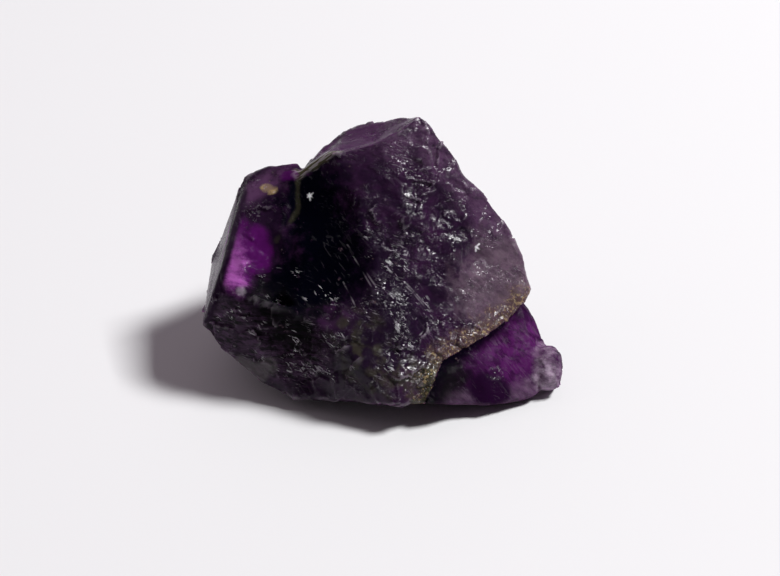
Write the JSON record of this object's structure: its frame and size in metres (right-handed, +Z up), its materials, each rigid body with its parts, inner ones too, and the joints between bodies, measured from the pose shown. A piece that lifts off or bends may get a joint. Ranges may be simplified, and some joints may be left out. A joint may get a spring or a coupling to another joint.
{
  "type": "rough amethyst stone",
  "caption": "Rough lump of violet quartz with a broken, lightly tumbled surface, resting on a flat fracture face.",
  "frame": {"origin": "middle of the bounding box, on the plane of the resting face", "axes": "+X along the longest side, towards the rounded nub; +Y to the back, away from the large front fracture; +Z up"},
  "size_m": [0.045, 0.0332, 0.0289],
  "materials": {
    "amethyst": "broken quartz, lightly tumbled: glossy chips over a waxy violet-black body, with an iron-stained seam"
  },
  "bodies": {
    "root": {"amethyst_stone": "amethyst"}
  },
  "joints": []
}
